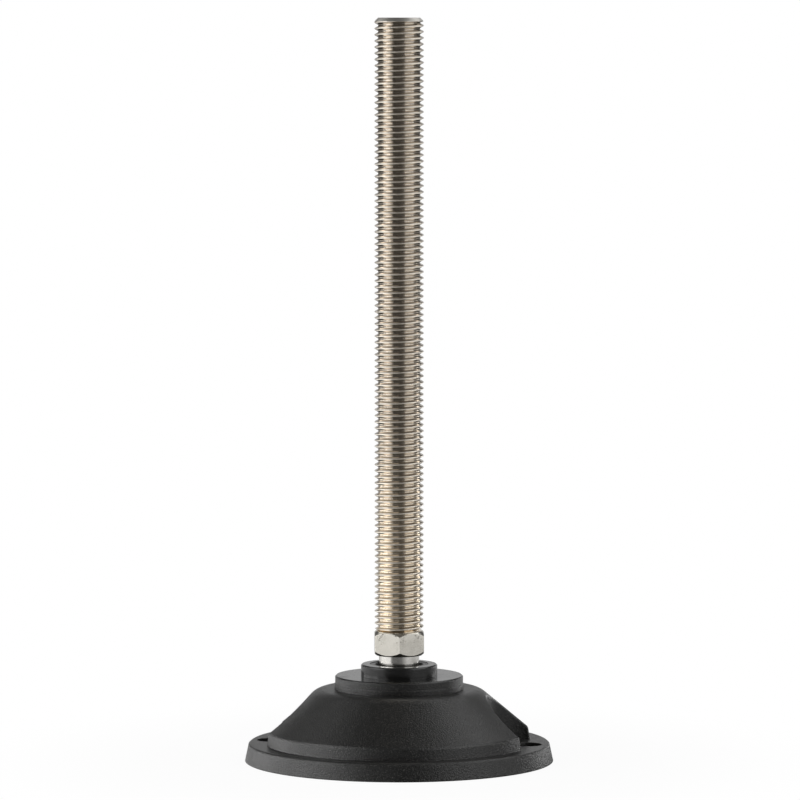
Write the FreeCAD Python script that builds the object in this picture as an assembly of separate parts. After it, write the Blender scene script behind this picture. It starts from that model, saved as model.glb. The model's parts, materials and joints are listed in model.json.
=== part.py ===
import FreeCAD, Part
import math
import os

# Articulated leveling foot: a moulded base, a threaded spindle with a ball end, and the split ring
# that keeps the ball in its socket. Millimetres and degrees. The origin is the middle of the underside,
# +Z runs up the spindle, and the two bolt pockets lie on the X axis.

# Spindle: coarse thread, hexagon and ball turned from one hexagon bar
thread_d = 16.0
thread_pitch = 2.0
thread_length = 200.0
thread_root_pitches = 1.2269
thread_flank_angle = 30.0
hex_across_flats = 16.0
hex_height = 8.0
hex_chamfer_angle = 41.0
hex_face_d = 15.2
hex_turn = 9.0
hex_lift = 3.0
ball_d = 18.0
ball_depth = 6.6

# Outside of the base, from the floor up
flange_d = 101.0
flange_top_d = 98.5
flange_height = 5.8
wall_d = 87.9
wall_height = 4.0
wall_draft = 9.0
cone_slope = 39.6
shoulder_z = 23.6
shoulder_round = 6.0
band_d = 42.2
band_height = 1.7
step_d = 41.9
step_height = 2.7
collar_d = 25.0
collar_height = 3.7
edge_break = 0.4

# Bolt pockets cut into the cone
bolt_spacing = 85.0
bolt_hole_d = 9.0
pocket_d = 27.2
pocket_edge_break = 0.4

# Hollow underside
wall_thickness = 3.0
boss_d = 33.0
boss_core_d = 20.0
socket_floor = 4.5
bolt_boss_d = 18.0
rib_count = 12
rib_thickness = 2.4
rib_recess = 0.8

# Split ring over the ball
ring_recess = 0.15
ring_height = 3.8
ring_lip_angle = 65.0
ring_mouth_depth = 0.9
ring_mouth_flare = 0.5
ring_wall = 0.7
bead_depth = 0.5
ring_split = 3.0
ring_split_angle = 147.0

# Clearances, with the room in which the neck leans
ball_play = 0.1
ring_ball_gap = 0.15
ring_play = 0.05
neck_room = 0.9

# Heights and radii that follow from the sizes above
wall_top_z = flange_height + wall_height
wall_top_r = wall_d / 2 - wall_height * math.tan(math.radians(wall_draft))
cone_rise = math.tan(math.radians(cone_slope))
peak_z = wall_top_z + wall_top_r * cone_rise
shoulder_r = wall_top_r - (shoulder_z - wall_top_z) / cone_rise
band_z = shoulder_z + band_height
step_z = band_z + step_height
collar_z = step_z + collar_height
ball_r = ball_d / 2
ball_z = collar_z - ball_depth
socket_r = ball_r + ball_play
socket_z = ball_z + ball_play
ring_top_z = collar_z - ring_recess
ring_seat_z = ring_top_z - ring_height
lip_rise = math.tan(math.radians(ring_lip_angle))
lip_r = (ball_r + ring_ball_gap) / math.sin(math.radians(ring_lip_angle)) - (ring_seat_z - ball_z) / lip_rise
throat_z = ring_top_z - ring_mouth_depth
throat_r = lip_r - (throat_z - ring_seat_z) / lip_rise
neck_r = throat_r - neck_room
ring_r = lip_r + ring_wall
bore_r = ring_r + ring_play
bead_z = ring_seat_z + ring_height / 2
hex_z = collar_z + hex_lift
thread_z = hex_z + hex_height
top_z = thread_z + thread_length
thread_root_d = thread_d - thread_root_pitches * thread_pitch
bolt_r = bolt_spacing / 2
pocket_r = pocket_d / 2

# How near two lengths must be to count as the same
near = 0.01

up = FreeCAD.Vector(0, 0, 1)
origin = FreeCAD.Vector(0, 0, 0)


def at(r, z):
    """Point in the profile plane, at radius r and height z."""
    return FreeCAD.Vector(r, 0, z)


def corner(r, z, cut=0.0):
    """Corner of a profile, left sharp or cut back flat along both sides."""
    return at(r, z), cut


def line(start, end):
    """Straight edge between two points."""
    return Part.LineSegment(start, end).toShape()


def lines(points):
    """Straight edges from point to point."""
    return [line(start, end) for start, end in zip(points, points[1:])]


def profile(corners):
    """Edges of the closed outline through the corners, each finished in its own way."""
    ends = []
    for i, (here, cut) in enumerate(corners):
        into = (corners[i - 1][0] - here).normalize()
        out = (corners[(i + 1) % len(corners)][0] - here).normalize()
        ends.append((here + into * cut, here + out * cut))
    edges = []
    for i, (first, last) in enumerate(ends):
        if corners[i][1] > 0:
            edges.append(line(first, last))
        edges.append(line(last, ends[(i + 1) % len(ends)][0]))
    return edges


def turned(edges, start=90.0, sweep=360.0):
    """Solid of revolution about Z of a closed profile. A full turn has its seam on +Y, clear of the pockets."""
    face = Part.Face(Part.Wire(Part.__sortEdges__(edges)))
    face.rotate(origin, up, start)
    return face.revolve(origin, up, sweep)


def drum(radius, low, high, x=0.0):
    """Upright cylinder between two heights, with its axis at x."""
    return Part.makeCylinder(radius, high - low, FreeCAD.Vector(x, 0, low))


def pair(shape):
    """The shape and its copy half a turn round the spindle."""
    other = shape.copy()
    other.rotate(origin, up, 180)
    return [shape, other]


def pocket_edges(body):
    """Edges where a pocket's upright wall breaks out through the cone and the lower wall."""
    found = []
    for edge in body.Edges:
        middle = edge.valueAt((edge.FirstParameter + edge.LastParameter) / 2)
        reach = math.hypot(abs(middle.x) - bolt_r, middle.y)
        if abs(reach - pocket_r) < near and edge.BoundBox.ZMax > near:
            found.append(edge)
    return found


def flange():
    """Flat foot of the base, which is also the floor of the pockets."""
    return turned(profile([
        corner(0, 0),
        corner(flange_d / 2, 0),
        corner(flange_top_d / 2, flange_height, cut=edge_break),
        corner(0, flange_height),
    ]))


def cone():
    """Lower wall and cone, down to the floor and still with a peak."""
    return turned(profile([
        corner(0, 0),
        corner(wall_d / 2, 0),
        corner(wall_d / 2, flange_height),
        corner(wall_top_r, wall_top_z, cut=edge_break),
        corner(0, peak_z),
    ]))


def peak_waste():
    """All of the cone above its flat top and the shoulder's round, which leads from there into the cone."""
    slope = math.radians(cone_slope)
    reach = shoulder_round * math.tan(slope / 2)
    first = at(shoulder_r - reach, shoulder_z)
    last = at(shoulder_r + reach * math.cos(slope), shoulder_z - reach * math.sin(slope))
    crown = first + at(math.sin(slope / 2), math.cos(slope / 2) - 1) * shoulder_round
    clear = last + at(math.sin(slope), math.cos(slope)) * shoulder_round
    round_edge = Part.Arc(first, crown, last).toShape()
    return turned([round_edge] + lines([
        last,
        clear,
        at(clear.x, peak_z),
        at(0, peak_z),
        at(0, shoulder_z),
        first,
    ]))


def stepped_collar():
    """Band, step and collar that stand on the shoulder."""
    return turned(profile([
        corner(0, shoulder_z),
        corner(band_d / 2, shoulder_z),
        corner(band_d / 2, band_z),
        corner(step_d / 2, band_z),
        corner(step_d / 2, step_z, cut=edge_break),
        corner(collar_d / 2, step_z),
        corner(collar_d / 2, collar_z, cut=edge_break),
        corner(0, collar_z),
    ]))


def base_outside():
    """Stepped dome of the base: the cone with the two bolt pockets cut through it, on the flange."""
    pockets = pair(drum(pocket_r, 0, peak_z, bolt_r))
    dome = cone().cut(pockets).removeSplitter()
    dome = dome.makeChamfer(pocket_edge_break, pocket_edges(dome)).cut(peak_waste())
    return dome.fuse([flange(), stepped_collar().cut(pockets)]).removeSplitter()


def hollow():
    """Space moulded out of the underside, between the skin, the bosses and the ribs."""
    slope = math.radians(cone_slope)
    inner_r = wall_top_r - wall_thickness
    roof_z = shoulder_z - wall_thickness
    cone_r = wall_top_r - wall_thickness * math.sin(slope)
    cone_z = wall_top_z - wall_thickness * math.cos(slope)
    space = turned(profile([
        corner(boss_d / 2, 0),
        corner(inner_r, 0),
        corner(inner_r, cone_z + (cone_r - inner_r) * cone_rise),
        corner(cone_r - (roof_z - cone_z) / cone_rise, roof_z),
        corner(boss_d / 2, roof_z),
    ]))
    kept = pair(drum(pocket_r + wall_thickness, flange_height - wall_thickness, collar_z, bolt_r))
    kept += pair(drum(bolt_boss_d / 2, 0, collar_z, bolt_r))
    for i in range(rib_count // 2):
        rib = Part.makeBox(flange_d, rib_thickness, collar_z,
                           FreeCAD.Vector(-flange_d / 2, -rib_thickness / 2, rib_recess))
        rib.rotate(origin, up, i * 360 / rib_count)
        kept.append(rib)
    return space.cut(kept)


def socket():
    """Ball socket and ring bore, open at the top of the collar."""
    bottom = at(0, socket_z - socket_r)
    side = at(socket_r, socket_z)
    diagonal = socket_r * math.sqrt(0.5)
    cup = Part.Arc(bottom, at(diagonal, socket_z - diagonal), side).toShape()
    return turned([cup] + lines([
        side,
        at(socket_r, ring_seat_z),
        at(bore_r, ring_seat_z),
        at(bore_r, bead_z - bead_depth),
        at(bore_r + bead_depth, bead_z),
        at(bore_r, bead_z + bead_depth),
        at(bore_r, collar_z),
        at(0, collar_z),
        bottom,
    ]))


def base():
    """Moulded base: outside, less the hollow, the socket, the core of the boss and the bolt holes."""
    body = base_outside().cut(hollow())
    core_top = socket_z - socket_r - socket_floor
    holes = pair(drum(bolt_hole_d / 2, 0, flange_height, bolt_r))
    return body.cut([socket(), drum(boss_core_d / 2, 0, core_top)] + holes)


def retaining_ring():
    """Split ring that snaps into the collar's groove and holds the ball down with a conical lip."""
    split = math.degrees(2 * math.asin(ring_split / 2 / ring_r))
    section = profile([
        corner(lip_r, ring_seat_z),
        corner(throat_r, throat_z),
        corner(throat_r + ring_mouth_flare, ring_top_z),
        corner(ring_r, ring_top_z),
        corner(ring_r, bead_z + bead_depth),
        corner(ring_r + bead_depth, bead_z),
        corner(ring_r, bead_z - bead_depth),
        corner(ring_r, ring_seat_z),
    ])
    return turned(section, start=ring_split_angle + split / 2, sweep=360 - split)


def hexagon():
    """Hexagon with both ends turned to a chamfer."""
    corner_r = hex_across_flats / math.sqrt(3)
    points = []
    for i in range(7):
        angle = math.radians(hex_turn - 90 + 60 * i)
        points.append(FreeCAD.Vector(corner_r * math.cos(angle), corner_r * math.sin(angle), hex_z))
    bar = Part.Face(Part.makePolygon(points)).extrude(up * hex_height)
    drop = (corner_r - hex_face_d / 2) * math.tan(math.radians(hex_chamfer_angle))
    lens = turned(profile([
        corner(0, hex_z),
        corner(hex_face_d / 2, hex_z),
        corner(corner_r, hex_z + drop),
        corner(corner_r, thread_z - drop),
        corner(hex_face_d / 2, thread_z),
        corner(0, thread_z),
    ]))
    return bar.common(lens)


def spindle():
    """One turned piece: ball, neck, hexagon and threaded shank, whose last flank ends on the hexagon."""
    root_r = thread_root_d / 2
    depth = thread_d / 2 - root_r
    crest_z = thread_z + depth * math.tan(math.radians(thread_flank_angle))
    bottom = at(0, ball_z - ball_r)
    joint = at(neck_r, ball_z + math.sqrt(ball_r ** 2 - neck_r ** 2))
    ball = Part.Arc(bottom, at(ball_r, ball_z), joint).toShape()
    bar = turned([ball] + lines([
        joint,
        at(neck_r, hex_z),
        at(root_r, thread_z),
        at(thread_d / 2, crest_z),
        at(thread_d / 2, top_z - depth),
        at(root_r, top_z),
        at(0, top_z),
        bottom,
    ]))
    return bar.fuse(hexagon()).removeSplitter()


os.makedirs("parts", exist_ok=True)
for name, shape in (("base", base()), ("retaining_ring", retaining_ring()), ("spindle", spindle())):
    solid = shape.Solids[0]
    print(name, len(shape.Solids), shape.isValid(), round(solid.Volume, 1), solid.BoundBox)
    solid.exportStep("parts/" + name + ".step")
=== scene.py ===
"""Articulated leveling foot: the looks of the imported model, with its real thread, in a white studio."""

import json
import logging
import math
from dataclasses import dataclass, field
from enum import Enum

import bmesh
import bpy
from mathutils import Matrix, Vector


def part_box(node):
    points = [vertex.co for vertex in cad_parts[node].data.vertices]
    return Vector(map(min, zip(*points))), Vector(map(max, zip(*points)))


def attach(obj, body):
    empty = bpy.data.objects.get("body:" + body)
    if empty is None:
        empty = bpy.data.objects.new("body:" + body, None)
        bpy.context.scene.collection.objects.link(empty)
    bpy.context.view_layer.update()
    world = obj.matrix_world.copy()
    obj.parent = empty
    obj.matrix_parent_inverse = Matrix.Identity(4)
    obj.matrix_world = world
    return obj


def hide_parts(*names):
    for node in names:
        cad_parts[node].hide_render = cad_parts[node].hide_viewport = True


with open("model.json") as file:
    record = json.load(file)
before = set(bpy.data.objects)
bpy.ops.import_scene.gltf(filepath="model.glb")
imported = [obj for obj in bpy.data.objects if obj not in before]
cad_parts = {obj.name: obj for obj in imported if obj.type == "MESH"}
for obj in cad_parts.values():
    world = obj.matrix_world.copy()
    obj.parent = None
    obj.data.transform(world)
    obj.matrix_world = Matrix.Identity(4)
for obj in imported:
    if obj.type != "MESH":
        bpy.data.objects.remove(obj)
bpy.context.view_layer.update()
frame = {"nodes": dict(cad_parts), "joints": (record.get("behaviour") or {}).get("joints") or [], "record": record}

log = logging.getLogger("leveling_foot")

Triple = tuple[float, float, float]
Colour = Triple
Span = tuple[float, float]
Profile = list[tuple[float, float]]
Rows = list[list[Vector]]
Faces = list[tuple[int, ...]]
Stops = tuple[tuple[float, float], ...]
Socket = bpy.types.NodeSocket

MM = 0.001
WHITE: Colour = (1.0, 1.0, 1.0)
# Both in degrees, the front from the X axis
FULL_TURN = 360.0
FRONT = -90.0


class Blend(Enum):
    """What a Mix node blends: its kind of data, the places of its two inputs and that of its output."""

    VALUE = ("FLOAT", 2, 3, 0)
    VECTOR = ("VECTOR", 4, 5, 1)
    COLOUR = ("RGBA", 6, 7, 2)


class Effect(Enum):
    """Surface effects that more than one finish uses."""

    ROUNDED_EDGES = "rounded_edges"
    FINE_GRAIN = "fine_grain"
    SCUFFS = "scuffs"


class Zone(Enum):
    """Material slots of the spindle, by the way its metal was worked."""

    ROLLED = 0
    MILLED = 1
    TURNED = 2
    CUT = 3


class NodeSketch:
    """Adds nodes to one node tree and links them."""

    def __init__(self, tree: bpy.types.NodeTree) -> None:
        """Starts an empty tree."""
        self.tree = tree
        tree.nodes.clear()

    def add(self, kind: str, **settings: object) -> bpy.types.Node:
        """Adds one node.

        Args:
            kind: the node's class name.
            settings: attributes to set on it.

        Returns:
            The new node.
        """
        node = self.tree.nodes.new(kind)
        for key, value in settings.items():
            setattr(node, key, value)
        return node

    def put(self, value: object, socket: Socket) -> None:
        """Links an output to an input, or sets a plain value on it.

        Args:
            value: the output, or a number, vector or colour without alpha.
            socket: the input.
        """
        if isinstance(value, bpy.types.NodeSocket):
            self.tree.links.new(value, socket)
        elif socket.type == "RGBA":
            socket.default_value = (*value, 1.0)
        else:
            socket.default_value = value

    def feed(self, node: bpy.types.Node, **inputs: object) -> bpy.types.Node:
        """Sets or links inputs by name, with underscores for spaces.

        Args:
            node: the node to feed.
            inputs: a socket to link from, or a plain value.

        Returns:
            The same node.
        """
        for key, value in inputs.items():
            self.put(value, node.inputs[key.replace("_", " ")])
        return node

    def math(self, operation: str, *terms: object) -> Socket:
        """Adds a Math node.

        Args:
            operation: the node's operation.
            terms: sockets or numbers, in order.

        Returns:
            The result's socket.
        """
        node = self.add("ShaderNodeMath", operation=operation)
        for place, term in enumerate(terms):
            self.put(term, node.inputs[place])
        return node.outputs[0]

    def measure(self, operation: str, *vectors: object) -> Socket:
        """Adds a Vector Math node whose result is a number.

        Args:
            operation: the node's operation.
            vectors: sockets or plain vectors, in order.

        Returns:
            The number's socket.
        """
        node = self.add("ShaderNodeVectorMath", operation=operation)
        for place, vector in enumerate(vectors):
            self.put(vector, node.inputs[place])
        return node.outputs["Value"]

    def axes(self, vector: Socket) -> bpy.types.NodeOutputs:
        """Splits a vector and returns its parts X, Y and Z."""
        return self.feed(self.add("ShaderNodeSeparateXYZ"), Vector=vector).outputs

    def ramp(self, value: Socket, span: Span, start: float = 0.0, end: float = 1.0) -> Socket:
        """Maps a span of values smoothly onto another.

        Args:
            value: the value to map.
            span: the values that give start and end.
            start: the result up to the first of them.
            end: the result from the second on.

        Returns:
            The result's socket.
        """
        low, high = span
        node = self.add("ShaderNodeMapRange", interpolation_type="SMOOTHSTEP")
        self.feed(node, Value=value, From_Min=low, From_Max=high, To_Min=start, To_Max=end)
        return node.outputs["Result"]

    def mix(self, share: Socket, first: object, second: object, blend: Blend = Blend.COLOUR) -> Socket:
        """Mixes two colours, values or vectors by a share.

        Args:
            share: 0 gives the first, 1 the second.
            first: a socket or a plain value.
            second: likewise.
            blend: what is mixed.

        Returns:
            The mixture's socket.
        """
        data_type, first_place, second_place, out = blend.value
        node = self.add("ShaderNodeMix", data_type=data_type)
        self.feed(node, Factor=share)
        self.put(first, node.inputs[first_place])
        self.put(second, node.inputs[second_place])
        return node.outputs[out]

    def noise(self, place: Socket, scale: object, detail: float, roughness: float = 0.5) -> Socket:
        """Adds a noise texture.

        Args:
            place: where the surface point lies.
            scale: lumps in a metre, as a number or a socket.
            detail: how many finer layers it has.
            roughness: how strong they are.

        Returns:
            The noise value's socket.
        """
        node = self.add("ShaderNodeTexNoise")
        self.feed(node, Vector=place, Scale=scale, Detail=detail, Roughness=roughness)
        return node.outputs["Fac"]

    def squash(self, place: Socket, turn: Triple, scale: Triple) -> Socket:
        """Turns and squashes the space that a texture is read in.

        Args:
            place: where the surface point lies.
            turn: turns about X, Y and Z, in radians.
            scale: how far the texture is squashed along each axis.

        Returns:
            The new place's socket.
        """
        node = self.add("ShaderNodeMapping")
        self.feed(node, Vector=place, Rotation=turn, Scale=scale)
        return node.outputs["Vector"]

    def finish(self, shader: bpy.types.Node) -> None:
        """Makes a shader the material's surface."""
        self.feed(self.add("ShaderNodeOutputMaterial"), Surface=shader.outputs[0])


class EffectShelf:
    """Shader node groups for the shared effects, each built once.

    EDGE_BEND holds the cosines between which a bend fades into an edge, and OUTER_LIGHT the shares of
    open sky between which an inner corner fades into an outer one. The other spans are the noise levels
    between which speckles, cloudy patches and scratches fade in.
    """

    EDGE_BEND: Span = (0.8, 0.99)
    EDGE_SAMPLES = 6
    OUTER_LIGHT: Span = (0.8, 0.97)
    OUTER_SAMPLES = 8
    FINER_GRAIN = 1.4
    PIT_SHARE = 0.35
    SPECKLE: Span = (0.56, 0.74)
    CLOUD: Span = (0.4, 0.7)
    CLOUD_SHARE = 0.6
    SCRATCH: Span = (0.56, 0.7)
    SCRATCH_TURN: Triple = (0.4, 0.3, 0.7)
    SCRATCH_SQUASH: Triple = (1.0, 9.0, 1.0)

    def __init__(self) -> None:
        """Starts with no group built."""
        self.groups: dict[Effect, bpy.types.NodeTree] = {}

    def place(self, sketch: NodeSketch, effect: Effect, **inputs: object) -> bpy.types.NodeOutputs:
        """Places an effect in a material.

        Args:
            sketch: the material's tree.
            effect: which effect.
            inputs: values or sockets for its inputs.

        Returns:
            The group node's outputs.
        """
        if effect not in self.groups:
            self.groups[effect] = self.build(effect)
        node = sketch.add("ShaderNodeGroup", node_tree=self.groups[effect])
        return sketch.feed(node, **inputs).outputs

    def build(self, effect: Effect) -> bpy.types.NodeTree:
        """Builds one effect's group.

        Args:
            effect: which effect.

        Returns:
            The finished group.
        """
        tree = bpy.data.node_groups.new(effect.value, "ShaderNodeTree")
        makers = {
            Effect.ROUNDED_EDGES: self.rounded_edges,
            Effect.FINE_GRAIN: self.fine_grain,
            Effect.SCUFFS: self.scuffs,
        }
        makers[effect](tree)
        return tree

    @staticmethod
    def start(
        tree: bpy.types.NodeTree, inputs: dict[str, str], outputs: dict[str, str]
    ) -> tuple[NodeSketch, bpy.types.NodeOutputs, bpy.types.Node]:
        """Declares a group's sockets and starts its tree.

        Args:
            tree: the group.
            inputs: socket name to kind, such as Float.
            outputs: likewise.

        Returns:
            The tree's sketch, what the group is given, and the node that takes its results.
        """
        for name, kind in inputs.items():
            tree.interface.new_socket(name, in_out="INPUT", socket_type="NodeSocket" + kind)
        for name, kind in outputs.items():
            tree.interface.new_socket(name, in_out="OUTPUT", socket_type="NodeSocket" + kind)
        sketch = NodeSketch(tree)
        return sketch, sketch.add("NodeGroupInput").outputs, sketch.add("NodeGroupOutput")

    def rounded_edges(self, tree: bpy.types.NodeTree) -> None:
        """Softens outer corners: a normal that runs round each edge, and a mask that is 1 on it.

        Args:
            tree: the group to fill.
        """
        outputs = {"Normal": "Vector", "Edge": "Float"}
        sketch, given, result = self.start(tree, {"Radius": "Float"}, outputs)
        bevel = sketch.add("ShaderNodeBevel", samples=self.EDGE_SAMPLES)
        sketch.feed(bevel, Radius=given["Radius"])
        rounded = bevel.outputs["Normal"]
        flat = sketch.add("ShaderNodeNewGeometry").outputs["Normal"]
        bend = sketch.measure("DOT_PRODUCT", rounded, flat)
        nook = sketch.add("ShaderNodeAmbientOcclusion", samples=self.OUTER_SAMPLES, only_local=True)
        sketch.feed(nook, Distance=given["Radius"])
        outer = sketch.ramp(nook.outputs["AO"], self.OUTER_LIGHT)
        edge = sketch.ramp(bend, self.EDGE_BEND, 1.0, 0.0)
        sketch.feed(
            result,
            Normal=sketch.mix(outer, flat, rounded, Blend.VECTOR),
            Edge=sketch.math("MULTIPLY", edge, outer),
        )

    def fine_grain(self, tree: bpy.types.NodeTree) -> None:
        """Fine texture of an eroded mould or a plated surface: a height in two sizes and a speckle mask.

        Args:
            tree: the group to fill.
        """
        inputs = {"Vector": "Vector", "Scale": "Float"}
        sketch, given, result = self.start(tree, inputs, {"Height": "Float", "Speckle": "Float"})
        folds = sketch.noise(given["Vector"], given["Scale"], detail=1.0)
        finer = sketch.math("MULTIPLY", given["Scale"], self.FINER_GRAIN)
        pits = sketch.noise(given["Vector"], finer, detail=1.0)
        height = sketch.math("ADD", folds, sketch.math("MULTIPLY", pits, self.PIT_SHARE))
        sketch.feed(result, Height=height, Speckle=sketch.ramp(pits, self.SPECKLE))

    def scuffs(self, tree: bpy.types.NodeTree) -> None:
        """Handling marks: broad cloudy patches with short scratches in them, as one mask.

        Args:
            tree: the group to fill.
        """
        inputs = {"Vector": "Vector", "Scale": "Float"}
        sketch, given, result = self.start(tree, inputs, {"Mask": "Float"})
        clouds = sketch.noise(given["Vector"], given["Scale"], detail=4.0, roughness=0.65)
        drawn_out = sketch.squash(given["Vector"], self.SCRATCH_TURN, self.SCRATCH_SQUASH)
        scratches = sketch.noise(drawn_out, given["Scale"], detail=3.0)
        patch = sketch.ramp(clouds, self.CLOUD)
        lines = sketch.math("MULTIPLY", patch, sketch.ramp(scratches, self.SCRATCH))
        both = sketch.math("ADD", sketch.math("MULTIPLY", patch, self.CLOUD_SHARE), lines)
        sketch.feed(result, Mask=sketch.math("MINIMUM", both, 1.0))


@dataclass(frozen=True)
class BlackNylon:
    """Black glass-filled nylon with a spark-eroded texture that a polished zone of the mould lacks.

    Lengths are in metres. At the height polished_from, give or take polish_fade, the grain fades to its
    share polish. By default that is above any piece. The two values of roughness are for clean and for
    marked places. The colour holds painted highlights: lighter speckles that stand in for glints of the
    grain, and lighter outer edges that stand in for the light they catch.
    """

    name: str
    colour: Colour = (0.0065, 0.0065, 0.006)
    painted_highlight_colour: Colour = (0.072, 0.072, 0.066)
    painted_edge_highlight: float = 0.55
    roughness: Span = (0.32, 0.46)
    refraction: float = 1.58
    grain: float = 0.42 * MM
    grain_depth: float = 0.18 * MM
    grain_strength: float = 0.8
    edge_radius: float = 0.5 * MM
    polished_from: float = 1.0
    polish_fade: float = 0.3 * MM
    polish: float = 0.12
    polished_roughness: float = 0.16
    marks: float = 12.0 * MM
    mark_share: float = 0.5

    def material(self, shelf: EffectShelf) -> bpy.types.Material:
        """Builds the material.

        Args:
            shelf: the shared effects.

        Returns:
            The finished material.
        """
        made, sketch = new_material(self.name)
        place = sketch.add("ShaderNodeTexCoord").outputs["Object"]
        height = sketch.axes(place)["Z"]
        edge = shelf.place(sketch, Effect.ROUNDED_EDGES, Radius=self.edge_radius)
        grain = shelf.place(sketch, Effect.FINE_GRAIN, Vector=place, Scale=1.0 / self.grain)
        marks = shelf.place(sketch, Effect.SCUFFS, Vector=place, Scale=1.0 / self.marks)
        fade = (self.polished_from - self.polish_fade, self.polished_from + self.polish_fade)
        rough = sketch.ramp(height, fade, 1.0, self.polish)
        speckle = sketch.math("MULTIPLY", grain["Speckle"], rough)
        bump = sketch.add("ShaderNodeBump")
        sketch.feed(
            bump,
            Height=sketch.math("MULTIPLY", grain["Height"], rough),
            Normal=edge["Normal"],
            Strength=self.grain_strength,
            Distance=self.grain_depth,
        )
        # Painted highlights: lighter colour in the grain's speckles for their glints, and on outer edges for the
        # light they catch
        light = sketch.math("MAXIMUM", speckle, sketch.math("MULTIPLY", edge["Edge"], self.painted_edge_highlight))
        low, high = self.roughness
        dull = sketch.math("ADD", speckle, sketch.math("MULTIPLY", marks["Mask"], self.mark_share))
        textured = sketch.ramp(dull, (0.0, 1.0), low, high)
        smooth = sketch.ramp(dull, (0.0, 1.0), self.polished_roughness, high)
        shader = sketch.add("ShaderNodeBsdfPrincipled")
        sketch.feed(
            shader,
            Base_Color=sketch.mix(light, self.colour, self.painted_highlight_colour),
            Roughness=sketch.mix(sketch.ramp(height, fade), textured, smooth, Blend.VALUE),
            Normal=bump.outputs["Normal"],
            IOR=self.refraction,
        )
        sketch.finish(shader)
        return made


@dataclass(frozen=True)
class Nicks:
    """Small ragged pits, here and there above a height.

    Lengths are in metres. Reach says where a pit ends, in spacings from its middle, and chosen how many
    of the places that could have a pit have one. Noise, rim_fineness times finer than the spacing, makes
    the rims ragged.
    """

    above: float
    spacing: float = 1.3 * MM
    colour: Colour = (0.16, 0.15, 0.13)
    turn: Triple = (0.5, 0.9, 0.3)
    squash: Triple = (1.0, 1.0, 2.6)
    reach: Span = (0.38, 0.48)
    chosen: Span = (0.66, 0.7)
    rim_share: float = 0.3
    rim_fineness: float = 5.0

    def mask(self, sketch: NodeSketch, place: Socket) -> Socket:
        """Adds the pits to a material.

        Args:
            sketch: the material's tree.
            place: the surface point's socket.

        Returns:
            A mask that is 1 in a pit.
        """
        squashed = sketch.squash(place, self.turn, self.squash)
        spots = sketch.add("ShaderNodeTexVoronoi")
        sketch.feed(spots, Vector=squashed, Scale=1.0 / self.spacing, Randomness=1.0)
        draw = sketch.feed(sketch.add("ShaderNodeSeparateColor"), Color=spots.outputs["Color"])
        rim = sketch.noise(place, self.rim_fineness / self.spacing, detail=2.0)
        away = sketch.math("ADD", spots.outputs["Distance"], sketch.math("MULTIPLY", rim, self.rim_share))
        spot = sketch.ramp(away, self.reach, 1.0, 0.0)
        kept = sketch.ramp(draw.outputs["Red"], self.chosen)
        high = sketch.ramp(sketch.axes(place)["Z"], (self.above, self.above + self.spacing))
        return sketch.math("MULTIPLY", sketch.math("MULTIPLY", spot, kept), high)


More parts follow.
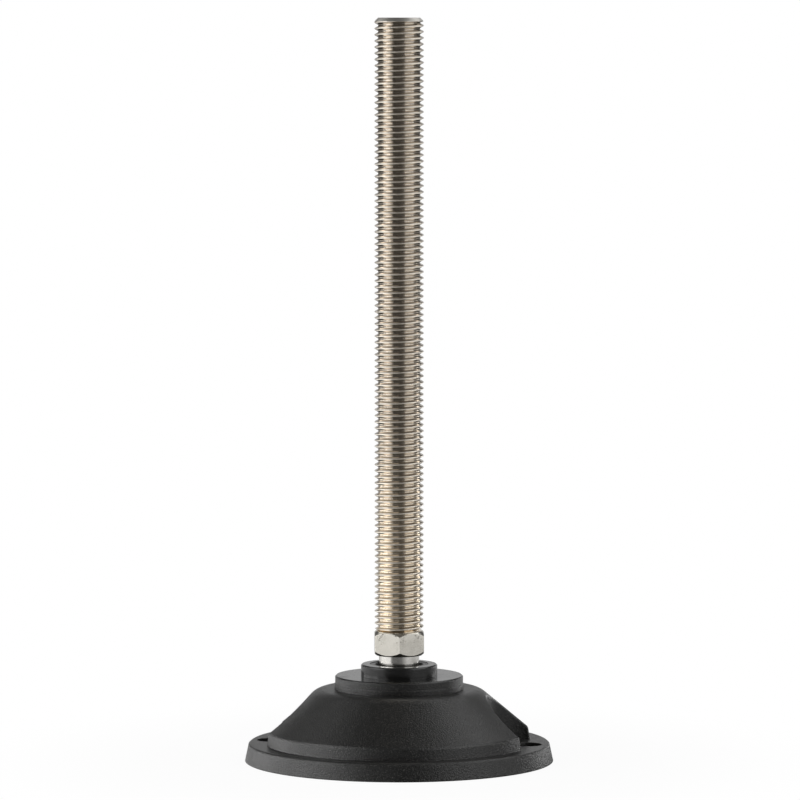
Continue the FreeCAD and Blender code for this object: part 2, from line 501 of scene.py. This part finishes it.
@dataclass(frozen=True)
class NickelPlate:
    """Nickel-plated steel with cloudy marks, and where they are set a low tone, worn crests and nicks, with
    painted light in the low tone and on the crests.

    Lengths are in metres. From the first height of fade to the second the tone goes from the low colour,
    paler and warmer as painted brightness on the lower thread, to colour. From crest_from on, measured
    from the axis, the plating is worn dull and painted lighter, a painted highlight on the crests. By
    default nothing is.
    """

    name: str
    colour: Colour
    roughness: Span = (0.12, 0.24)
    painted_light_low_colour: Colour | None = None
    fade: Span = (50.0 * MM, 120.0 * MM)
    grain: float = 0.8 * MM
    grain_depth: float = 0.006 * MM
    edge_radius: float = 0.12 * MM
    marks: float = 4.0 * MM
    mark_value: float = 0.9
    mark_saturation: float = 1.1
    crest_from: float = 1.0
    crest_fade: float = 0.08 * MM
    painted_crest_highlight: Colour = (0.86, 0.8, 0.71)
    crest_roughness: float = 0.45
    nicks: Nicks | None = None

    def material(self, shelf: EffectShelf) -> bpy.types.Material:
        """Builds the material.

        Args:
            shelf: the shared effects.

        Returns:
            The finished material.
        """
        made, sketch = new_material(self.name)
        place = sketch.add("ShaderNodeTexCoord").outputs["Object"]
        edge = shelf.place(sketch, Effect.ROUNDED_EDGES, Radius=self.edge_radius)
        grain = shelf.place(sketch, Effect.FINE_GRAIN, Vector=place, Scale=1.0 / self.grain)
        marks = shelf.place(sketch, Effect.SCUFFS, Vector=place, Scale=1.0 / self.marks)
        colour = self.marked_colour(sketch, place, marks["Mask"])
        pits = grain["Height"]
        if self.nicks:
            nick = self.nicks.mask(sketch, place)
            colour = sketch.mix(nick, colour, self.nicks.colour)
            pits = sketch.math("SUBTRACT", pits, nick)
        wear_and_highlight = self.wear_and_highlight_mask(sketch, place)
        dull = sketch.ramp(marks["Mask"], (0.0, 1.0), *self.roughness)
        bump = sketch.add("ShaderNodeBump")
        sketch.feed(bump, Height=pits, Normal=edge["Normal"], Strength=1.0, Distance=self.grain_depth)
        shader = sketch.add("ShaderNodeBsdfPrincipled")
        sketch.feed(
            shader,
            # Painted highlight: worn crests are lighter in colour as well as rougher
            Base_Color=sketch.mix(wear_and_highlight, colour, self.painted_crest_highlight),
            Metallic=1.0,
            Roughness=sketch.math("MAXIMUM", dull, sketch.math("MULTIPLY", wear_and_highlight, self.crest_roughness)),
            Normal=bump.outputs["Normal"],
        )
        sketch.finish(shader)
        return made

    def marked_colour(self, sketch: NodeSketch, place: Socket, marks: Socket) -> Socket:
        """The plating's colour by height, paler and warmer low down as painted brightness, and a little darker in
        its marks.

        Args:
            sketch: the material's tree.
            place: the surface point's socket.
            marks: a mask that is 1 in a mark.

        Returns:
            The colour's socket.
        """
        # Painted brightness: the lower thread is paler and warmer in colour
        rise = sketch.ramp(sketch.axes(place)["Z"], self.fade)
        plate = sketch.mix(rise, self.painted_light_low_colour or self.colour, self.colour)
        darker = sketch.add("ShaderNodeHueSaturation")
        sketch.feed(darker, Color=plate, Value=self.mark_value, Saturation=self.mark_saturation)
        return sketch.mix(marks, plate, darker.outputs["Color"])

    def wear_and_highlight_mask(self, sketch: NodeSketch, place: Socket) -> Socket:
        """Where the crests are worn and painted lighter.

        Args:
            sketch: the material's tree.
            place: the surface point's socket.

        Returns:
            A mask that is 1 from crest_from on.
        """
        axes = sketch.axes(place)
        squares = [sketch.math("MULTIPLY", axes[name], axes[name]) for name in ("X", "Y")]
        out = sketch.math("SQRT", sketch.math("ADD", *squares))
        return sketch.ramp(out, (self.crest_from - self.crest_fade, self.crest_from))


@dataclass
class Moulding:
    """A moulded piece that is shown by its own solid."""

    shelf: EffectShelf
    finish: BlackNylon
    node: str

    def dress(self) -> bpy.types.Object:
        """Gives the solid its finish.

        Returns:
            The solid's object.
        """
        piece = frame["nodes"][self.node]
        dress(piece, [self.finish.material(self.shelf)])
        return piece


@dataclass
class MouldedBase(Moulding):
    """The base, textured up to its step and polished above."""

    finish: BlackNylon = BlackNylon("base_nylon", polished_from=27.8 * MM)
    node: str = "base"


@dataclass
class RetainingRing(Moulding):
    """The split ring in the collar, smoother and a little paler than the base."""

    finish: BlackNylon = BlackNylon(
        "ring_nylon",
        colour=(0.018, 0.018, 0.0175),
        roughness=(0.3, 0.42),
        grain_depth=0.02 * MM,
        edge_radius=0.15 * MM,
    )
    node: str = "retaining_ring"


def spindle_finishes() -> dict[Zone, NickelPlate]:
    """The spindle's finishes, by zone."""
    return {
        Zone.ROLLED: NickelPlate(
            "thread_nickel",
            colour=(0.58, 0.525, 0.455),
            # The paler low tone is painted brightness on the lower thread
            painted_light_low_colour=(0.75, 0.67, 0.56),
            grain_depth=0.02 * MM,
            crest_from=7.92 * MM,
        ),
        Zone.MILLED: NickelPlate(
            "hex_nickel",
            colour=(0.77, 0.74, 0.67),
            roughness=(0.2, 0.28),
            nicks=Nicks(above=39.0 * MM),
        ),
        Zone.TURNED: NickelPlate(
            "neck_nickel",
            colour=(0.82, 0.8, 0.755),
            roughness=(0.13, 0.19),
            grain_depth=0.001 * MM,
        ),
        Zone.CUT: NickelPlate(
            "end_nickel",
            colour=(0.64, 0.62, 0.58),
            roughness=(0.45, 0.6),
            grain_depth=0.05 * MM,
        ),
    }


@dataclass
class ThreadedSpindle:
    """The steel spindle with its real thread: ball, neck, hexagon and rolled thread in one mesh.

    Lengths are in metres and angles in degrees. Radii and heights that the frame gives are read from it.
    The mesh is rows of points round the axis, with a point for each of the columns. A flank leans by
    flank_angle from the axis, and thread_start is how far the thread is turned, as a share of a turn.
    """

    shelf: EffectShelf
    thread_pitch: float = 2.0 * MM
    thread_length: float = 200.0 * MM
    thread_start: float = 0.485
    thread_runout: float = 0.4 * MM
    flank_angle: float = 60.0
    crest_flat: float = 0.3 * MM
    crest_break: float = 0.08 * MM
    root_radius: float = 0.289 * MM
    hex_across_flats: float = 16.0 * MM
    hex_height: float = 8.0 * MM
    hex_chamfer_angle: float = 41.0
    hex_face_d: float = 15.2 * MM
    hex_turn: float = 9.0
    hex_sides: int = 6
    neck_d: float = 13.216 * MM
    columns: int = 60
    ball_rows: int = 18
    flank_steps: int = 3
    root_steps: int = 2
    lead_turns: int = 2
    weld: float = 0.0005 * MM
    sharp_angle: float = 32.0
    name: str = "threaded_spindle"
    body: str = "spindle"
    node: str = "spindle"
    slot: str = "spindle_steel"
    finishes: dict[Zone, NickelPlate] = field(default_factory=spindle_finishes)

    def __post_init__(self) -> None:
        """Reads from the frame what it knows and works out the other heights and radii."""
        low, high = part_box(self.node)
        joints = {joint["name"]: joint for joint in frame["joints"]}
        mounts = {mount["name"]: mount for mount in frame["record"]["mounts"]}
        self.ball_z = joints["tilt"]["pos_m"][2]
        self.ball_r = self.ball_z - low.z
        self.top_z = high.z
        self.thread_r = mounts["thread"]["dims"]["r_mm"] * MM
        self.thread_z = self.top_z - self.thread_length
        self.hex_z = self.thread_z - self.hex_height
        self.slope = math.radians(self.flank_angle)
        self.flank_rise = math.tan(self.slope)
        tangent_z = self.thread_pitch / 2 - self.root_radius * math.sin(self.slope)
        tangent_r = self.thread_r - (tangent_z - self.crest_flat / 2) * self.flank_rise
        self.root_r = tangent_r - self.root_radius * (1.0 - math.cos(self.slope))
        self.chamfer_z = self.top_z - (self.thread_r - self.root_r)

    def thread_profile(self) -> Profile:
        """One pitch of the thread's section: half a crest, a flank, the round root and back up.

        Returns:
            Height above the crest's middle and radius, upwards from the crest to the next one.
        """
        half_flat = self.crest_flat / 2
        break_z = half_flat + self.crest_break * math.cos(self.slope)
        break_r = self.thread_r - self.crest_break * math.sin(self.slope)
        root: Profile = []
        for step in range(-self.root_steps, self.root_steps + 1):
            turn = self.slope * step / self.root_steps
            z = self.thread_pitch / 2 + self.root_radius * math.sin(turn)
            root.append((z, self.root_r + self.root_radius * (1.0 - math.cos(turn))))
        root_z, root_r = root[0]
        flank: Profile = [(half_flat - self.crest_break, self.thread_r), (break_z, break_r)]
        for step in range(1, self.flank_steps):
            share = step / self.flank_steps
            flank.append((break_z + (root_z - break_z) * share, break_r + (root_r - break_r) * share))
        return flank + root + [(self.thread_pitch - z, r) for z, r in reversed(flank)]

    def shank_rows(self) -> tuple[Rows, int]:
        """Points of the rolled thread, row by row along the helix, from some turns below its start.

        Returns:
            One row of points per step of the section, and how many rows one pitch has.
        """
        section = self.thread_profile()
        turns = math.ceil(self.thread_length / self.thread_pitch) + self.lead_turns + 1
        rows = []
        for turn in range(turns):
            for offset, radius in section:
                row = []
                for column in range(self.columns):
                    rise = turn + column / self.columns + self.thread_start - self.lead_turns
                    z = self.thread_z + rise * self.thread_pitch + offset
                    row.append(self.shank_point(column, z, radius))
                rows.append(row)
        return rows, len(section)

    def shank_point(self, column: int, z: float, radius: float) -> Vector:
        """A point of the thread, which starts on the hexagon and runs out below the chamfered top.

        Args:
            column: which column it is on.
            z: its height on an endless thread.
            radius: its radius there.

        Returns:
            The point.
        """
        z = min(max(z, self.thread_z), self.top_z)
        grooved = min(max((self.chamfer_z - z) / self.thread_runout, 0.0), 1.0)
        radius = self.thread_r - (self.thread_r - radius) * grooved
        below_top = self.root_r + self.top_z - z
        above_hexagon = self.root_r + (z - self.thread_z) * self.flank_rise
        return self.around(column, max(min(radius, below_top, above_hexagon), self.root_r), z)

    def around(self, column: int, radius: float, z: float) -> Vector:
        """A point at a radius and height, on one of the columns that go round the axis."""
        angle = math.radians(FRONT + self.hex_turn) + 2.0 * math.pi * column / self.columns
        return Vector((radius * math.cos(angle), radius * math.sin(angle), z))

    def circle(self, radius: float, z: float) -> list[Vector]:
        """One row of points on a circle."""
        return [self.around(column, radius, z) for column in range(self.columns)]

    def foot_rows(self) -> Rows:
        """Points of the ball, neck and hexagon.

        Returns:
            One row per step upwards from just above the ball's lowest point.
        """
        neck_r = self.neck_d / 2
        face_r = self.hex_face_d / 2
        chamfer = math.tan(math.radians(self.hex_chamfer_angle))
        start = -math.pi / 2
        end = math.acos(neck_r / self.ball_r)
        rows = []
        for step in range(1, self.ball_rows + 1):
            turn = start + (end - start) * step / self.ball_rows
            z = self.ball_z + self.ball_r * math.sin(turn)
            rows.append(self.circle(self.ball_r * math.cos(turn), z))
        rows += [self.circle(neck_r, self.hex_z), self.circle(face_r, self.hex_z)]
        sector = FULL_TURN / self.hex_sides
        lower, upper = [], []
        for column in range(self.columns):
            past_flat = math.radians(FULL_TURN * column / self.columns % sector - sector / 2)
            flat_r = self.hex_across_flats / 2 / math.cos(past_flat)
            drop = (flat_r - face_r) * chamfer
            lower.append(self.around(column, flat_r, self.hex_z + drop))
            upper.append(self.around(column, flat_r, self.thread_z - drop))
        rows += [lower, upper]
        return rows + [self.circle(radius, self.thread_z) for radius in (face_r, self.root_r)]

    def skin(self, first: int, rows: int, seam: int = 0) -> Faces:
        """Faces between rows of points, closed round the axis.

        Args:
            first: index of the first row's first point.
            rows: how many rows there are.
            seam: how many rows further on a row meets itself after one turn.

        Returns:
            The faces.
        """
        faces = []
        last = rows - 1
        for row in range(last):
            for column in range(self.columns):
                beside = (column + 1) % self.columns
                shift = seam if beside == 0 else 0
                lower = first + min(row + shift, last) * self.columns
                upper = first + min(row + 1 + shift, last) * self.columns
                here = first + row * self.columns + column
                faces.append((here, lower + beside, upper + beside, here + self.columns))
        return faces

    def build(self) -> bpy.types.Object:
        """Builds the mesh.

        Returns:
            The spindle's object, on its body and in its node's place.
        """
        foot = self.foot_rows()
        shank, pitch_rows = self.shank_rows()
        points = [point for row in foot + shank for point in row]
        first = len(foot) * self.columns
        faces = self.skin(0, len(foot)) + self.skin(first, len(shank), pitch_rows)
        bottom, top = len(points), len(points) + 1
        rim = bottom - self.columns
        points += [Vector((0.0, 0.0, self.ball_z - self.ball_r)), Vector((0.0, 0.0, self.top_z))]
        for column in range(self.columns):
            beside = (column + 1) % self.columns
            faces.append((bottom, beside, column))
            faces.append((top, rim + column, rim + beside))
        mesh = bpy.data.meshes.new(self.name)
        mesh.from_pydata(points, [], faces)
        self.close(mesh)
        piece = bpy.data.objects.new(self.name, mesh)
        bpy.context.scene.collection.objects.link(piece)
        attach(piece, self.body)
        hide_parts(self.node)
        return piece

    def close(self, mesh: bpy.types.Mesh) -> None:
        """Joins the points that the chamfered ends brought together and sets smooth and sharp edges.

        Args:
            mesh: the spindle's mesh.
        """
        work = bmesh.new()
        work.from_mesh(mesh)
        bmesh.ops.remove_doubles(work, verts=work.verts, dist=self.weld)
        bmesh.ops.dissolve_degenerate(work, edges=work.edges, dist=self.weld)
        bmesh.ops.recalc_face_normals(work, faces=work.faces)
        work.to_mesh(mesh)
        work.free()
        mesh.shade_smooth()
        mesh.set_sharp_from_angle(angle=math.radians(self.sharp_angle))

    def zone(self, height: float) -> Zone:
        """The zone at a height, where the hexagon's level ends count as turned.

        Args:
            height: a face's middle.

        Returns:
            The zone.
        """
        if height > self.chamfer_z:
            return Zone.CUT
        if height > self.thread_z:
            return Zone.ROLLED
        if self.hex_z < height < self.thread_z:
            return Zone.MILLED
        return Zone.TURNED

    def dress(self, piece: bpy.types.Object) -> None:
        """Gives each zone of the spindle its finish.

        Args:
            piece: the spindle's object.
        """
        dress(piece, [self.finishes[zone].material(self.shelf) for zone in Zone])
        for face in piece.data.polygons:
            face.material_index = self.zone(face.center.z).value


def new_material(name: str) -> tuple[bpy.types.Material, NodeSketch]:
    """Starts a material.

    Args:
        name: the material's name.

    Returns:
        The material and a sketch of its empty node tree.
    """
    made = bpy.data.materials.new(name)
    made.use_nodes = True
    return made, NodeSketch(made.node_tree)


def dress(piece: bpy.types.Object, materials: list[bpy.types.Material]) -> None:
    """Puts materials in a piece's slots, in order.

    Args:
        piece: the object to dress.
        materials: one per slot.
    """
    piece.data.materials.clear()
    for material in materials:
        piece.data.materials.append(material)


@dataclass(frozen=True)
class Softbox:
    """A studio lamp that faces the object.

    Azimuth is in degrees to the right of the camera, and elevation in degrees above the point aimed at.
    Lengths are in metres, and radiance 1 reflects as white in a mirror.
    """

    name: str
    azimuth: float
    elevation: float
    distance: float
    width: float
    height: float
    radiance: float


@dataclass(frozen=True)
class FloorRing:
    """How bright the floor glows in reflections from a distance on, for each side of the object, as painted light
    and shade.

    The ring is reached between start and end, in metres. Its front is a strip just right of the camera.
    """

    start: float
    end: float
    behind: float
    back_left: float
    left: float
    front: float
    right: float
    aside: float
    back_right: float

    def stops(self) -> Stops:
        """The whiteness by degrees to the right of the camera, from -180 to 180."""
        return (
            (-180.0, self.behind),
            (-150.0, self.back_left),
            (-110.0, self.left),
            (-1.0, self.left),
            (0.0, self.front),
            (12.0, self.front),
            (50.0, self.right),
            (92.0, self.aside),
            (155.0, self.back_right),
            (180.0, self.behind),
        )


@dataclass
class Studio:
    """White studio: floor, surround, lamps and camera.

    Lengths are in metres and angles in degrees. The wall is the bright part of the surround, behind the
    object: wall_spread holds cosines of the angle from straight behind, and wall_rise sines of the
    elevation. The strip is the part of the floor in front of the object, left of the camera, that
    reflections show dark.
    """

    camera_azimuth: float = 7.3
    camera_distance: float = 1.7
    camera_height: float = 0.247
    camera_pitch: float = 4.33
    camera_sensor: float = 36.0
    camera_clip: Span = (0.05, 50.0)
    focal_pixels: float = 5226.0
    frame_pixels: float = 800.0
    frame_shift: float = 0.9
    aim_height: float = 0.05
    floor_near: float = 1.6
    floor_side: float = 1.9
    floor_reach: float = 0.62
    floor_colour: Colour = (0.86, 0.86, 0.86)
    floor_white: float = 0.95
    shadow_span: Span = (0.06, 0.16)
    strip_start: float = 0.16
    strip_half: float = 0.19
    strip_angle: float = 30.0
    strip_white: float = 0.125
    sweep_height: float = 0.1
    sweep_steps: int = 24
    surround: float = 0.08
    wall_white: float = 0.62
    wall_spread: Span = (0.86, 0.95)
    wall_rise: Span = (0.06, 0.1)
    # Painted light and shade of the floor's glow in reflections, ring by ring; near the object it is darker to the
    # right, a painted shadow of the object
    mirrored: tuple[FloorRing, ...] = (
        FloorRing(start=0.0, end=0.0, behind=0.65, back_left=0.5, left=0.65,
                  front=0.125, right=0.3, aside=0.16, back_right=0.5),
        FloorRing(start=0.232, end=0.246, behind=0.65, back_left=0.5, left=1.0,
                  front=0.125, right=0.3, aside=0.16, back_right=0.5),
        FloorRing(start=0.258, end=0.31, behind=0.65, back_left=0.5, left=1.0,
                  front=0.2, right=1.0, aside=0.85, back_right=0.8),
        FloorRing(start=0.36, end=0.88, behind=0.5, back_left=0.45, left=0.43,
                  front=0.1, right=0.41, aside=0.33, back_right=0.6),
    )
    lamps: tuple[Softbox, ...] = (
        Softbox("key_left", azimuth=-76.0, elevation=29.0, distance=1.0,
                width=0.8, height=0.5, radiance=2.5),
        Softbox("panel_left", azimuth=-99.0, elevation=-1.8, distance=0.25,
                width=0.32, height=0.045, radiance=3.2),
        Softbox("front_left", azimuth=-57.0, elevation=15.0, distance=1.25,
                width=0.9, height=0.5, radiance=1.5),
        Softbox("panel_right", azimuth=62.0, elevation=32.0, distance=1.0,
                width=1.0, height=0.55, radiance=1.65),
        Softbox("fill_right", azimuth=60.0, elevation=6.2, distance=0.42,
                width=0.42, height=0.12, radiance=0.75),
        Softbox("back_left", azimuth=-133.0, elevation=47.0, distance=1.0,
                width=0.5, height=0.4, radiance=0.6),
        Softbox("back_right", azimuth=124.0, elevation=52.0, distance=1.0,
                width=1.0, height=0.5, radiance=1.1),
        Softbox("low_right", azimuth=133.0, elevation=-1.6, distance=0.3,
                width=0.18, height=0.045, radiance=2.8),
        Softbox("front_top", azimuth=0.0, elevation=50.0, distance=1.2,
                width=0.8, height=0.5, radiance=0.2),
    )

    def build(self) -> None:
        """Sets the view transform and makes everything that isn't part of the object."""
        bpy.context.scene.view_settings.view_transform = "Standard"
        self.make_world()
        self.make_floor()
        self.make_sweep()
        for lamp in self.lamps:
            self.make_lamp(lamp)
        self.make_camera()

    def towards(self, azimuth: float, elevation: float) -> Vector:
        """Unit vector from the object.

        Args:
            azimuth: to the right of the camera.
            elevation: above the level.

        Returns:
            The vector.
        """
        turn = math.radians(self.camera_azimuth + azimuth)
        lift = math.radians(elevation)
        level = math.cos(lift)
        return Vector((math.sin(turn) * level, -math.cos(turn) * level, math.sin(lift)))

    def make_world(self) -> None:
        """Surround: white to the camera, and a white wall behind the object in reflections."""
        world = bpy.data.worlds.new("studio")
        bpy.context.scene.world = world
        world.use_nodes = True
        sketch = NodeSketch(world.node_tree)
        direction = sketch.add("ShaderNodeTexCoord").outputs["Generated"]
        behind = sketch.measure("DOT_PRODUCT", direction, self.towards(180.0, 0.0))
        wall = sketch.math(
            "MULTIPLY",
            sketch.ramp(behind, self.wall_spread),
            sketch.ramp(sketch.axes(direction)["Z"], self.wall_rise),
        )
        path = sketch.add("ShaderNodeLightPath").outputs
        mirrored = sketch.math("MAXIMUM", path["Is Glossy Ray"], path["Is Transmission Ray"])
        shown = sketch.math("MULTIPLY", sketch.math("MULTIPLY", wall, mirrored), self.wall_white)
        white = sketch.math("MAXIMUM", path["Is Camera Ray"], shown)
        dim = (self.surround, self.surround, self.surround)
        background = sketch.add("ShaderNodeBackground")
        sketch.feed(background, Color=sketch.mix(white, dim, WHITE), Strength=1.0)
        sketch.feed(sketch.add("ShaderNodeOutputWorld"), Surface=background.outputs[0])

    def make_floor(self) -> None:
        """Pale floor, white to the camera apart from a soft shadow. The strip is its second face."""
        front, near = -self.strip_start, -self.floor_near
        side, back = self.floor_side, self.floor_reach
        strip_near = -self.strip_half - (front - near) * math.tan(math.radians(self.strip_angle))
        outline = [
            (0.0, front),
            (0.0, near),
            (side, near),
            (side, back),
            (-side, back),
            (-side, near),
            (strip_near, near),
            (-self.strip_half, front),
        ]
        strip = (0, 7, 6, 1)
        mesh = bpy.data.meshes.new("floor")
        mesh.from_pydata([(x, y, 0.0) for x, y in outline], [], [range(len(outline)), strip])
        floor = bpy.data.objects.new("floor", mesh)
        floor.rotation_euler.z = math.radians(self.camera_azimuth)
        bpy.context.scene.collection.objects.link(floor)
        strip_material = self.floor_material("floor_front", self.strip_white)
        dress(floor, [self.floor_material("floor_white"), strip_material])
        mesh.polygons[1].material_index = 1

    def floor_material(self, name: str, whiteness: float | None = None) -> bpy.types.Material:
        """Builds a material of the floor.

        Args:
            name: the material's name.
            whiteness: how white reflections show it, or nothing for the floor's rings.

        Returns:
            The finished material.
        """
        made, sketch = new_material(name)
        away = sketch.measure("LENGTH", sketch.add("ShaderNodeTexCoord").outputs["Object"])
        white = sketch.ramp(away, self.shadow_span, self.floor_white, 1.0)
        self.lit_white(sketch, white, self.painted_mirror_light(sketch) if whiteness is None else whiteness)
        return made

    def painted_mirror_light(self, sketch: NodeSketch) -> Socket:
        """How bright the floor glows in reflections, by direction from the object and distance: painted light and
        shade, darker to the right near the object as a painted shadow of it.

        Args:
            sketch: the material's tree.

        Returns:
            The whiteness as a socket.
        """
        place = sketch.add("ShaderNodeTexCoord").outputs["Object"]
        axes = sketch.axes(place)
        away = sketch.measure("LENGTH", place)
        turn = sketch.math("ARCTAN2", axes["X"], sketch.math("MULTIPLY", axes["Y"], -1.0))
        share = sketch.math("ADD", sketch.math("DIVIDE", turn, 2.0 * math.pi), 0.5)
        first, *further = self.mirrored
        white = self.white_by_turn(sketch, share, first)
        for ring in further:
            beyond = sketch.ramp(away, (ring.start, ring.end))
            white = sketch.mix(beyond, white, self.white_by_turn(sketch, share, ring))
        return white

    @staticmethod
    def white_by_turn(sketch: NodeSketch, share: Socket, ring: FloorRing) -> Socket:
        """One ring's whiteness all round the object.

        Args:
            sketch: the material's tree.
            share: the direction as a share of a full turn.
            ring: the ring.

        Returns:
            The whiteness as a socket.
        """
        node = sketch.add("ShaderNodeValToRGB")
        marks = node.color_ramp.elements
        marks.remove(marks[1])
        marks[0].color = (ring.behind, ring.behind, ring.behind, 1.0)
        for azimuth, level in ring.stops()[1:]:
            marks.new(azimuth / FULL_TURN + 0.5).color = (level, level, level, 1.0)
        return sketch.feed(node, Fac=share).outputs["Color"]

    def lit_white(self, sketch: NodeSketch, white: object, whiteness: object) -> None:
        """Ends a studio material: pale under the lamps, white to the camera, as given in reflections.

        Args:
            sketch: the material's tree.
            white: how white the camera sees it, from 0 to 1, as a number or a socket.
            whiteness: how white reflections show it, likewise.
        """
        path = sketch.add("ShaderNodeLightPath").outputs
        mirrored = sketch.math("MAXIMUM", path["Is Glossy Ray"], path["Is Transmission Ray"])
        seen = sketch.math("MULTIPLY", path["Is Camera Ray"], white)
        pale = sketch.feed(sketch.add("ShaderNodeBsdfDiffuse"), Color=self.floor_colour)
        lack = sketch.math("MULTIPLY", mirrored, sketch.math("SUBTRACT", 1.0, whiteness))
        glow = sketch.feed(sketch.add("ShaderNodeEmission"), Strength=sketch.math("SUBTRACT", 1.0, lack))
        glowing = sketch.math("MAXIMUM", seen, mirrored)
        mixed = sketch.feed(sketch.add("ShaderNodeMixShader"), Fac=glowing)
        sketch.put(pale.outputs[0], mixed.inputs[1])
        sketch.put(glow.outputs[0], mixed.inputs[2])
        sketch.finish(mixed)

    def make_sweep(self) -> None:
        """Low white backdrop round the back of the floor, which only reflections show."""
        points = []
        for step in range(self.sweep_steps + 1):
            turn = math.pi * step / self.sweep_steps
            x, y = self.floor_reach * math.cos(turn), self.floor_reach * math.sin(turn)
            points += [(x, y, 0.0), (x, y, self.sweep_height)]
        faces = [(2 * i, 2 * i + 1, 2 * i + 3, 2 * i + 2) for i in range(self.sweep_steps)]
        mesh = bpy.data.meshes.new("sweep")
        mesh.from_pydata(points, [], faces)
        sweep = bpy.data.objects.new("sweep", mesh)
        sweep.visible_camera = False
        bpy.context.scene.collection.objects.link(sweep)
        made, sketch = new_material("sweep_white")
        # The sweep glows in reflections with the same painted light and shade as the floor
        self.lit_white(sketch, 1.0, self.painted_mirror_light(sketch))
        dress(sweep, [made])

    def make_lamp(self, lamp: Softbox) -> None:
        """Hangs one softbox, turned towards the object.

        Args:
            lamp: its place, size and radiance.
        """
        data = bpy.data.lights.new(lamp.name, "AREA")
        data.shape = "RECTANGLE"
        data.size = lamp.width
        data.size_y = lamp.height
        data.energy = lamp.radiance * math.pi * lamp.width * lamp.height
        out = self.towards(lamp.azimuth, lamp.elevation)
        holder = bpy.data.objects.new(lamp.name, data)
        holder.location = Vector((0.0, 0.0, self.aim_height)) + out * lamp.distance
        holder.rotation_euler = (-out).to_track_quat("-Z", "Y").to_euler()
        bpy.context.scene.collection.objects.link(holder)

    def make_camera(self) -> None:
        """Sets up the long lens, level with the top of the thread and looking slightly down."""
        data = bpy.data.cameras.new("camera")
        data.sensor_width = self.camera_sensor
        data.lens = self.camera_sensor * self.focal_pixels / self.frame_pixels
        data.shift_x = self.frame_shift / self.frame_pixels
        data.clip_start, data.clip_end = self.camera_clip
        camera = bpy.data.objects.new("camera", data)
        foot = self.towards(0.0, 0.0) * self.camera_distance
        camera.location = foot + Vector((0.0, 0.0, self.camera_height))
        ahead = -self.towards(0.0, self.camera_pitch)
        camera.rotation_euler = ahead.to_track_quat("-Z", "Y").to_euler()
        bpy.context.scene.collection.objects.link(camera)
        bpy.context.scene.camera = camera


def main() -> None:
    """Builds and dresses each piece, then the studio."""
    logging.basicConfig(level=logging.INFO, format="%(message)s")
    shelf = EffectShelf()
    log.info("base: %s", MouldedBase(shelf).dress().name)
    log.info("ring: %s", RetainingRing(shelf).dress().name)
    spindle = ThreadedSpindle(shelf)
    piece = spindle.build()
    spindle.dress(piece)
    log.info("spindle: %s, %d faces", piece.name, len(piece.data.polygons))
    Studio().build()
    log.info("studio ready")


if __name__ == "__main__":
    main()
